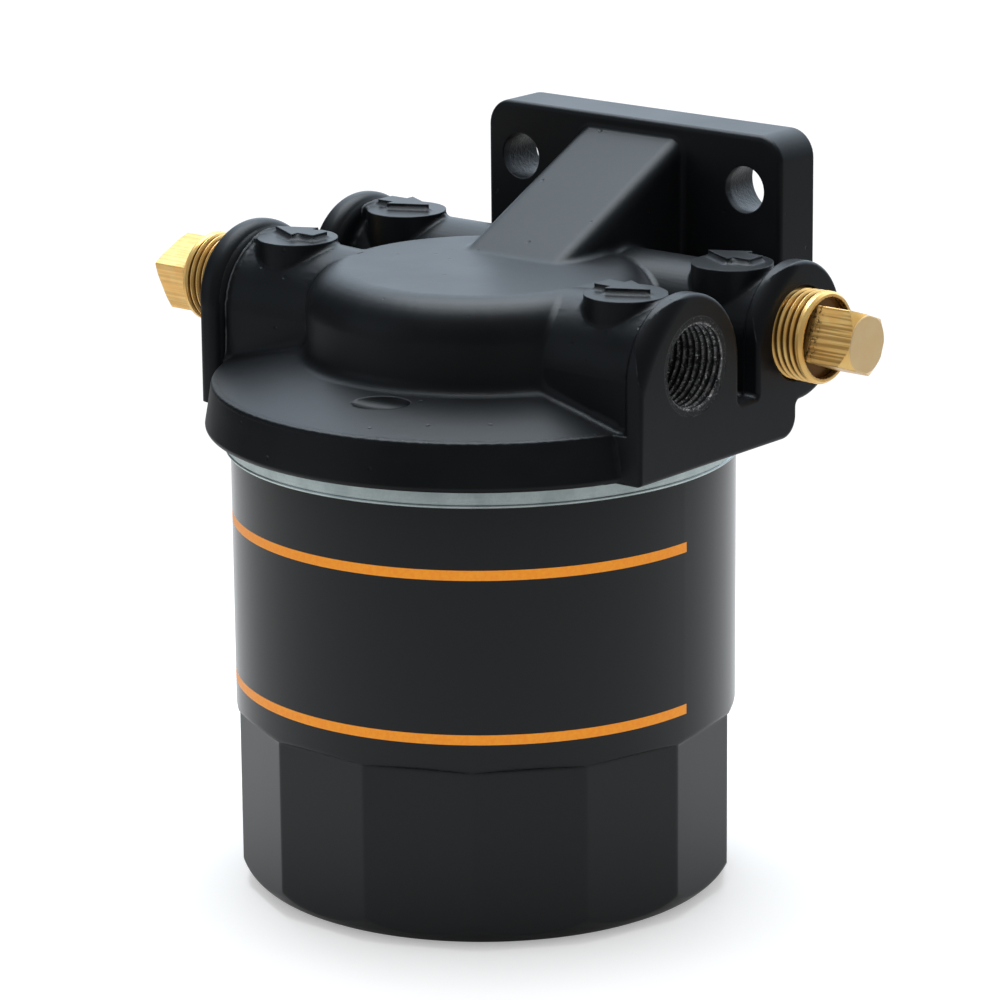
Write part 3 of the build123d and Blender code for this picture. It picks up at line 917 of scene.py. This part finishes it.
def threaded_shank():
    """The plug below its shoulder: pointed thread, land, and a hollow in its top."""
    length = THREAD_LENGTH - LAND / 2
    shank = threaded_rod(SMALL_RADIUS, SMALL_RADIUS - THREAD_DEPTH, length)
    factor = TAPER * length / SMALL_RADIUS
    modify(shank, "SIMPLE_DEFORM", deform_method="TAPER", deform_axis="Z", factor=factor)
    beside = LARGE_RADIUS + PAST_SIDE
    point = turned_blank([
        (0, -PAST_END),
        (SMALL_RADIUS - POINT_CHAMFER - PAST_END, -PAST_END),
        (beside, beside - SMALL_RADIUS + POINT_CHAMFER),
        (beside, THREAD_LENGTH + PAST_END),
        (0, THREAD_LENGTH + PAST_END),
    ])
    join_solids(shank, point, "INTERSECT")
    land_top = THREAD_LENGTH - SHOULDER_CHAMFER
    land = turned_blank([
        (0, land_top - LAND),
        (LARGE_RADIUS - LAND_FOOT, land_top - LAND),
        (LARGE_RADIUS - LAND_STEP, land_top - 0.6 * LAND),
        (LARGE_RADIUS - LAND_STEP, land_top),
        (LARGE_RADIUS - SHOULDER_CHAMFER, THREAD_LENGTH),
        (0, THREAD_LENGTH),
    ])
    join_solids(shank, land, "UNION")
    hollow = turned_blank([
        (0, THREAD_LENGTH - HOLLOW_DEPTH),
        (LARGE_RADIUS - RIM_WIDTH - HOLLOW_DRAFT, THREAD_LENGTH - HOLLOW_DEPTH),
        (LARGE_RADIUS - RIM_WIDTH, THREAD_LENGTH + PAST_END),
        (0, THREAD_LENGTH + PAST_END),
    ])
    join_solids(shank, hollow, "DIFFERENCE")
    return shank


# %% Model both plugs
LEFT_RISE = 0.8 * MM
LEFT_SEAT = {"side": -1, "y": FRONT_Y, "z": PORT_Z + LEFT_RISE, "reach": 11.9 * MM, "turn": 25}
RIGHT_SEAT = {"side": 1, "y": REAR_Y, "z": PORT_Z, "reach": 6.0 * MM, "turn": -20}
LEFT_DROP = 0.7 * MM
RIGHT_DROP = 2.0 * MM


def brass_plug(name, body, node, end_drop, side, y, z, reach, turn):
    """A whole plug, whose shoulder is by the reach outside its port's face."""
    plug = threaded_shank()
    plug.name = name
    join_solids(plug, square_head(turn * side, end_drop), "UNION")
    plug.rotation_euler = (0, math.radians(90 * side), 0)
    plug.location = (side * (PORT_FACE + reach - THREAD_LENGTH), y, z)
    freeze(plug)
    smooth_shading(plug, 26)
    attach(plug, body)
    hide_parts(node)
    report(name, plug)
    return plug


left_plug = brass_plug("brass_plug_left", "left_plug", "plug_left", LEFT_DROP, **LEFT_SEAT)
right_plug = brass_plug("brass_plug_right", "right_plug", "plug_right", RIGHT_DROP, **RIGHT_SEAT)

# %% [markdown]
# Brass that was cut keeps the marks of its tool: fine lines along the flats, rings on
# the end. The thread's roots and the hollow round the shank are painted darker as
# painted shade, and dark dirt lies in chips near the shoulder. Each mask is worked out
# from how far a point is along the plug's axis and away from it, in the plug's own
# turned coordinates.

# %% Brass colours and the places of its masks
YELLOW_BRASS = ((0.97, 0.55, 0.16, 1), (1.0, 0.67, 0.24, 1))
CUT_END = (0.74, 0.57, 0.34, 1)
TOOL_LINE = (0.40, 0.20, 0.045, 1)
ROOT_PAINTED_SHADE = (0.10, 0.04, 0.004, 1)
HOLLOW_PAINTED_SHADE = (0.20, 0.09, 0.018, 1)
DIRT = (0.05, 0.025, 0.006, 1)
HEAD_START = (0.02 * MM, 0.15 * MM)
END_START = (HEAD_LENGTH - 0.25 * MM, HEAD_LENGTH - 0.1 * MM)
FLAT_MARGIN = 0.06 * MM
ROOT_RADII = (SMALL_RADIUS - 0.56 * MM, SMALL_RADIUS - 0.22 * MM)
THREAD_END = (-1.2 * MM, -1.0 * MM)
HOLLOW_RADIUS = 7.8 * MM
HOLLOW_LOW = -1.7 * MM
HOLLOW_TOP = (-0.5 * MM, 0.3 * MM)
SHOULDER_LOW = (-1.4 * MM, -0.4 * MM)
SHOULDER_TOP = (0.7 * MM, 2.0 * MM)
BROACHED = (30, 1500, 1500)
SCRATCHED = (60, 3600, 3600)


# %% Brass with tool marks
def brass_finish(name, marks_seen, side, y, z, reach, turn):
    """Turned and broached yellow brass, with painted shade in its thread roots and hollow."""
    finish = Finish(name)
    spot = finish.place((side * (PORT_FACE + reach), y, z))
    x, across, up = finish.axes(spot)
    out = x * side
    radius = hypotenuse(across, up)
    squared = finish.place((0, y, z), (math.radians(-turn), 0, 0))
    _, width, tall = finish.axes(squared)
    square = width.absolute().function("MAXIMUM", tall.absolute())

    on_head = out.fade(*HEAD_START)
    on_end = out.fade(*END_START)
    on_flat = on_head * (square > HEAD_WIDTH / 2 - FLAT_MARGIN)
    above_root = radius - (out + THREAD_LENGTH) * TAPER
    # Thread roots painted dark brown: painted shade in the roots.
    root_shade = (1 - above_root.fade(*ROOT_RADII)) * (1 - out.fade(*THREAD_END))
    inside = radius < HOLLOW_RADIUS
    # The hollow round the shank is painted darker: painted shade in the hollow.
    in_hollow = inside * (out > HOLLOW_LOW) * (1 - out.fade(*HOLLOW_TOP))
    chips = finish.noise(spot, 1700, 3, 0.7).fade(0.5, 0.58)
    dirt = out.fade(*SHOULDER_LOW) * (1 - out.fade(*SHOULDER_TOP)) * inside * chips

    broached = finish.noise(squared * BROACHED, 1, 2, 0.5)
    scratches = finish.noise(squared * SCRATCHED, 1, 2, 0.6)
    rings = finish.noise(finish.node("CombineXYZ", None, {"X": radius * 3000}), 1, 2, 0.6)
    clouds = finish.noise(spot, 260, 3)
    lines = broached.fade(0.44, 0.56) * on_flat * marks_seen
    base = finish.mix(clouds.spread(), *YELLOW_BRASS)
    for mask, colour in (
        (on_end * 0.7, CUT_END),
        (lines, TOOL_LINE),
        (root_shade * 0.95, ROOT_PAINTED_SHADE),
        (in_hollow * 0.7, HOLLOW_PAINTED_SHADE),
        (dirt * 0.85, DIRT),
    ):
        base = finish.mix(mask, base, colour)
    marks = (broached * marks_seen + scratches * 0.3) * on_flat + rings * on_end * 0.5 - dirt
    finish.surface(
        Base_Color=base,
        Metallic=0.6 - on_head * 0.15,
        Roughness=0.20 + clouds * 0.08 + on_flat * 0.1 + on_end * 0.2,
        Normal=finish.bump(marks, 0.12 * MM, finish.rounded(0.12 * MM)),
    )
    return finish


paint_piece(left_plug, brass_finish("brass_left", 0.3, **LEFT_SEAT))
paint_piece(right_plug, brass_finish("brass_right", 0.75, **RIGHT_SEAT))

# %% [markdown]
# ## Canister
# The shell is drawn steel under glossy black enamel, with two printed orange lines
# that stop short of meeting. The lines are masks in the paint: a band of heights
# that holds between two angles about the axis.

# %% Gloss enamel with orange lines
UPPER_LINE = (71.2 * MM, 73.1 * MM)
LOWER_LINE = (40.1 * MM, 42.0 * MM)
LINE_END = math.radians(90.8)
ORANGE_INKS = ((0.98, 0.29, 0.002, 1), (1.0, 0.35, 0.004, 1))
GLOSS_BLACKS = ((0.0032, 0.0038, 0.0044, 1), (0.0045, 0.0054, 0.0062, 1))
enamel = Finish("gloss_black_enamel", IOR=1.5)
shell_spot = enamel.place()
shell_x, shell_y, shell_z = enamel.axes(shell_spot)
angle_round = shell_x.function("ARCTAN2", -1 * shell_y)
in_band = shell_z.between(*UPPER_LINE) + shell_z.between(*LOWER_LINE)
printed = in_band * (angle_round < LINE_END)
enamel_clouds = enamel.noise(shell_spot, 30, 3)
scuffs = enamel.noise(shell_spot * (1, 1, 6), 900, 4, 0.7).fade(0.66, 0.8)
enamel_peel = enamel.noise(shell_spot, 420, 2)
waves = enamel.noise(shell_spot * (1, 1, 0.25), 55, 1)
ink = enamel.mix(enamel.noise(shell_spot, 1400, 3).spread(), *ORANGE_INKS)
gloss = enamel.mix(enamel_clouds, *GLOSS_BLACKS)
wavy = enamel.bump(waves, 0.05 * MM, enamel.rounded(1.0 * MM))
enamel.surface(
    Base_Color=enamel.mix(printed, gloss, ink),
    Roughness=0.12 + enamel_clouds * 0.05 + printed * 0.25 + scuffs * 0.08,
    Normal=enamel.bump(enamel_peel, 0.003 * MM, wavy),
)
paint_node("canister_shell", enamel)

# %% [markdown]
# ## Plated steel, rubber, tin plate and paper
# The seamed lid, the tapping plate and the nipple are zinc plated, dull grey with a
# faint grain round the axis. Inside are tin plated caps and tube, the pleated paper
# and rubber seals, which show when the canister is unscrewed.

# %% Plated steel
ZINC_LIGHT = (0.80, 0.89, 0.87, 1)
ZINC_DARK = (0.60, 0.69, 0.68, 1)
TIN_LIGHT = (0.62, 0.62, 0.60, 1)
TIN_DARK = (0.47, 0.47, 0.46, 1)
LINES_PER_METRE = 2600


def plated(name, light, dark, roughness):
    """Plated sheet steel with fine lines that run round the axis."""
    finish = Finish(name, Metallic=1.0)
    spot = finish.place()
    x, y, z = finish.axes(spot)
    grain_spot = {"X": hypotenuse(x, y) * LINES_PER_METRE, "Y": z * LINES_PER_METRE}
    rings = finish.noise(finish.node("CombineXYZ", None, grain_spot), 1, 3)
    clouds = finish.noise(spot, 180, 4, 0.6)
    speckle = finish.noise(spot, 1700, 3, 0.7).fade(0.5, 0.7)
    base = finish.mix(clouds.spread(), dark, light)
    finish.surface(
        Base_Color=finish.mix(speckle * 0.35, base, dark),
        Roughness=roughness + clouds * 0.12,
        Normal=finish.bump(rings + clouds, 0.015 * MM),
    )
    return finish


zinc = plated("zinc_plated_steel", ZINC_LIGHT, ZINC_DARK, 0.36)
tin = plated("tin_plated_steel", TIN_LIGHT, TIN_DARK, 0.26)
for node in ("seaming_lid", "tapping_plate", "centre_nipple"):
    paint_node(node, zinc)
for node in ("top_end_cap", "bottom_end_cap", "centre_tube", "element_spring"):
    paint_node(node, tin)

# %% [markdown]
# The lid's edge is folded over the shell and rolled flat. Seen close, its lower edge
# is a small bright bead, finer than the CAD's fold, so a thin turned ring lies over
# the fold.

# %% Rolled seam
SEAM_HEIGHT = 4.2 * MM
SEAM_WIDTH = 1.0 * MM
SEAM_BEAD = 0.42 * MM
SEAM_STEPS = 256
BEAD_PROUD = 0.1 * MM
BEAD_NECK = 0.08 * MM
TOP_CHAMFER = 0.3 * MM
_, lid_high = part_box("seaming_lid")
seam_outside = lid_high[0] + 0.03 * MM
seam_inside = seam_outside - SEAM_WIDTH
seam_top = lid_high[2] + 0.02 * MM
bead_z = lid_high[2] - SEAM_HEIGHT
bead_radius = seam_outside + BEAD_PROUD - SEAM_BEAD
seam_outline = [(seam_inside, bead_z - SEAM_BEAD)]
for degrees in range(-90, 61, 15):
    a = math.radians(degrees)
    seam_outline.append((bead_radius + SEAM_BEAD * math.cos(a), bead_z + SEAM_BEAD * math.sin(a)))
seam_outline += [
    (seam_outside - BEAD_NECK, bead_z + 1.2 * SEAM_BEAD),
    (seam_outside, bead_z + 1.8 * SEAM_BEAD),
    (seam_outside, seam_top - TOP_CHAMFER),
    (seam_outside - TOP_CHAMFER, seam_top),
    (seam_inside, seam_top),
]
seam = turned_blank(seam_outline, SEAM_STEPS, ring=True)
seam.name = "rolled_seam"
smooth_shading(seam, 40)
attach(seam, "canister")
paint_piece(seam, zinc)
report("seam", seam)

# %% Rubber
RUBBER_BLACKS = ((0.012, 0.012, 0.012, 1), (0.03, 0.03, 0.031, 1))
rubber = Finish("black_seal_rubber", IOR=1.5)
rubber_spot = rubber.place()
bloom = rubber.noise(rubber_spot, 400, 4, 0.6)
rubber.surface(
    Base_Color=rubber.mix(bloom, *RUBBER_BLACKS),
    Roughness=0.55 + bloom * 0.2,
    Normal=rubber.bump(rubber.noise(rubber_spot, 1800, 2), 0.01 * MM),
)
for node in ("canister_gasket", "collar_seal"):
    paint_node(node, rubber)

# %% Filter paper
PAPER_BROWNS = ((0.62, 0.50, 0.30, 1), (0.76, 0.65, 0.44, 1))
paper = Finish("filter_paper")
fibres = paper.noise(paper.place() * (1, 1, 0.3), 2400, 5, 0.65)
paper.surface(
    Base_Color=paper.mix(fibres, *PAPER_BROWNS),
    Roughness=0.85 + fibres * 0.1,
    Normal=paper.bump(fibres, 0.03 * MM),
)
paint_node("pleated_media", paper)

# %% [markdown]
# ## Studio
# The object stands on a white floor under one wide soft lamp, and the world lights
# it evenly from all round. The floor keeps the soft shadow near the object and fades
# to pure white away from it. Gloss shows what it mirrors, so for mirrored rays alone
# the floor is dimmer, and the world is bright behind the object and dark beside it,
# as a studio with one bright wall is.

# %% Directions and greys of the studio
YAW, PITCH_DOWN, ROLL = (math.radians(angle) for angle in (39.40, 15.31, -0.52))
BACK = (-math.sin(YAW), math.cos(YAW), 0)
LOW_BACK = (BACK[0] * 0.966, BACK[1] * 0.966, 0.259)
LEFT_WALL = (-0.97, -0.24, 0)
FRONT_LEFT = (-0.60, -0.78, 0.17)
WHITE = (1, 1, 1, 1)
BLACK = (0, 0, 0, 1)
FLOOR_GREY = (0.80, 0.80, 0.80, 1)
MIRRORED_GREY = (0.38, 0.38, 0.38, 1)
MIRRORED_BLUE = (0.74, 0.87, 1.0, 1)

# %% Floor
bpy.ops.mesh.primitive_plane_add(size=6)
floor = bpy.context.active_object
floor.name = "studio_floor"
ground = Finish("white_floor", Roughness=0.6, IOR=1.2, Emission_Strength=1.0)
ground_spot = ground.place()
away = ground.node("VectorMath", {"operation": "NORMALIZE"}, {0: ground_spot})
metres = ground.node("VectorMath", {"operation": "LENGTH"}, {0: ground_spot}, output="Value")
far = metres.fade(0.10, 0.34)
seen = ground.node("LightPath", output="Is Camera Ray")
seen = seen + ground.node("LightPath", output="Is Transmission Ray")
mirrored = ground.node("LightPath", output="Is Glossy Ray")
to_left = ground.dot(away, LEFT_WALL).fade(0.8, 0.96) * metres.fade(0.42, 0.6)
near = 1 - metres.fade(0.30, 0.46) * (0.55 + to_left * 0.43)
glow = seen * (0.35 + far * 0.65) + mirrored * (0.20 + ground.dot(away, BACK) * 0.20) * near
plain_floor = ground.mix(far * seen, FLOOR_GREY, BLACK)
mirrored_floor = ground.mix(near, BLACK, MIRRORED_GREY)
ground.surface(
    Base_Color=ground.mix(mirrored, plain_floor, mirrored_floor),
    Emission_Color=ground.mix(glow, BLACK, WHITE),
)
floor.data.materials.append(ground.material)


# %% World
class Sky(Finish):
    """The world's own nodes."""

    def __init__(self, world):
        self.name = world.name
        self.tree = world.node_tree
        self.shader = self.tree.nodes["Background"]


studio = bpy.data.worlds.new("studio")
bpy.context.scene.world = studio
studio.use_nodes = True
sky = Sky(studio)
PLAIN_LIGHT = 0.75
seen = sky.node("LightPath", output="Is Camera Ray")
mirrored = sky.node("LightPath", output="Is Glossy Ray")
direction = sky.node("TexCoord", output="Generated")
height = sky.axes(direction)[2]
off_left = 1 - sky.dot(direction, LEFT_WALL).fade(0.5, 0.85)
behind = sky.dot(direction, LOW_BACK).fade(0.05, 0.85)
front = sky.dot(direction, FRONT_LEFT).fade(0.86, 0.99)
bright = behind * off_left * (1.7 + height.fade(0.2, 0.6) * 0.75)
wall = 0.03 + bright + off_left * 0.09 + front * 0.45
sky.surface(
    Color=sky.mix(mirrored, WHITE, MIRRORED_BLUE),
    Strength=seen + (1 - seen) * (mirrored * wall + (1 - mirrored) * PLAIN_LIGHT),
)

# %% Lamp
LAMP_PLACE = Vector((-0.08, 0.10, 0.64))
LAMP_TARGET = Vector((0, 0, 0.12))
LAMP_SIZE = 0.48
LAMP_WATTS = 3.4
bpy.ops.object.light_add(type="AREA", location=LAMP_PLACE)
overhead = bpy.context.active_object
overhead.name = "overhead"
overhead.data.shape = "SQUARE"
overhead.data.size = LAMP_SIZE
overhead.data.energy = LAMP_WATTS
overhead.data.color = (0.88, 0.95, 1.0)
overhead.rotation_euler = (LAMP_TARGET - LAMP_PLACE).to_track_quat("-Z", "Y").to_euler()
print("lamp:", overhead.data.energy, "W")

# %% [markdown]
# ## Camera
# The camera stands where the photographer's did: its place, turn and focal length
# were fitted to the photograph, so the render lies over it point for point.

# %% Camera
CAMERA_SPOT = Vector((571.90, -691.47, 318.91)) * MM
FOCAL_PIXELS = 4917.5
FRAME_PIXELS = 1000
SENSOR_WIDTH = 36
forward = Vector((
    -math.sin(YAW) * math.cos(PITCH_DOWN),
    math.cos(YAW) * math.cos(PITCH_DOWN),
    -math.sin(PITCH_DOWN),
))
level = Vector((math.cos(YAW), math.sin(YAW), 0))
upright = level.cross(forward)
to_right = level * math.cos(ROLL) + upright * math.sin(ROLL)
to_top = upright * math.cos(ROLL) - level * math.sin(ROLL)
bpy.ops.object.camera_add(location=CAMERA_SPOT)
camera = bpy.context.active_object
turn_to_frame = Matrix((to_right, to_top, -forward)).transposed().to_4x4()
camera.matrix_world = Matrix.Translation(CAMERA_SPOT) @ turn_to_frame
camera.data.sensor_width = SENSOR_WIDTH
camera.data.lens = SENSOR_WIDTH * FOCAL_PIXELS / FRAME_PIXELS
camera.data.clip_start = 0.05
bpy.context.scene.camera = camera
bpy.context.scene.view_settings.view_transform = "Standard"
print("camera:", [round(value, 4) for value in camera.location])

# %% [markdown]
# ## Last step
# The view layer is brought up to date.

# %% Update the view layer
bpy.context.view_layer.update()
